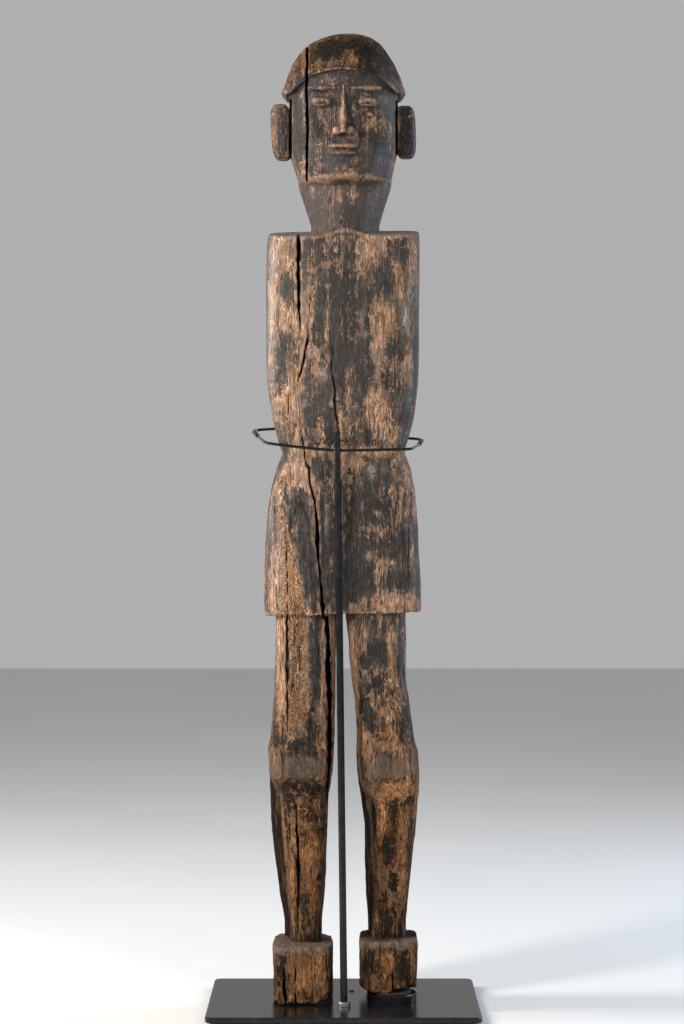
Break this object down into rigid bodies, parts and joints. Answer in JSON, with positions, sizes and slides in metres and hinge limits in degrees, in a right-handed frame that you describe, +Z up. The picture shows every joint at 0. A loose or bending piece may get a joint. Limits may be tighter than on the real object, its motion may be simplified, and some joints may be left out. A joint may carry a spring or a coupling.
{
  "type": "carved ancestor figure on a display stand",
  "caption": "Tall carved wooden standing figure with flat-cut shoulders and a flared skirt, held upright by a black steel rod with a sliding waist cradle.",
  "frame": {"origin": "centre of the base plate's footprint, at floor level", "axes": "+Z up along the figure; the figure faces -Y, with the stand's rod in front of it; +X is to the viewer's right"},
  "size_m": [0.46, 0.34, 1.678],
  "materials": {
    "weathered_wood": "dark grey-brown patina worn through to orange-tan wood, dry and matt, with drying splits",
    "black_steel": "satin black",
    "bare_steel": "plain zinc plate",
    "pad_rubber": "matt",
    "sleeve_rubber": "matt",
    "felt": "matt felt"
  },
  "bodies": {
    "stand": {"base_collar": "bare_steel", "base_plate": "black_steel", "carved_figure": "weathered_wood", "felt_left_foot": "felt", "felt_right_foot": "felt", "fixing_screw": "bare_steel", "pad_screw_1": "bare_steel", "pad_screw_2": "bare_steel", "pad_screw_3": "bare_steel", "pad_screw_4": "bare_steel", "riser_disc": "black_steel", "riser_screw": "bare_steel", "rubber_pad_1": "pad_rubber", "rubber_pad_2": "pad_rubber", "rubber_pad_3": "pad_rubber", "rubber_pad_4": "pad_rubber", "tube_plug": "bare_steel", "upright_screw": "bare_steel", "upright_tube": "black_steel"},
    "cradle": {"cradle_stem": "black_steel", "waist_arm_left": "black_steel", "waist_arm_right": "black_steel", "arm_sleeve_left": "sleeve_rubber", "arm_sleeve_right": "sleeve_rubber"},
    "clamp": {"clamp_screw": "black_steel"}
  },
  "joints": [
    {"name": "cradle_height", "type": "slide", "parent": "stand", "child": "cradle", "axis": [-0.012, 0, 0.9999], "range_m": [-0.012, 0.02]},
    {"name": "clamp_turn", "type": "hinge", "parent": "stand", "child": "clamp", "pos_m": [-0.00974, -0.0855, 0.89494], "axis": [0, -1, 0], "range_deg": [0, 360]}
  ]
}
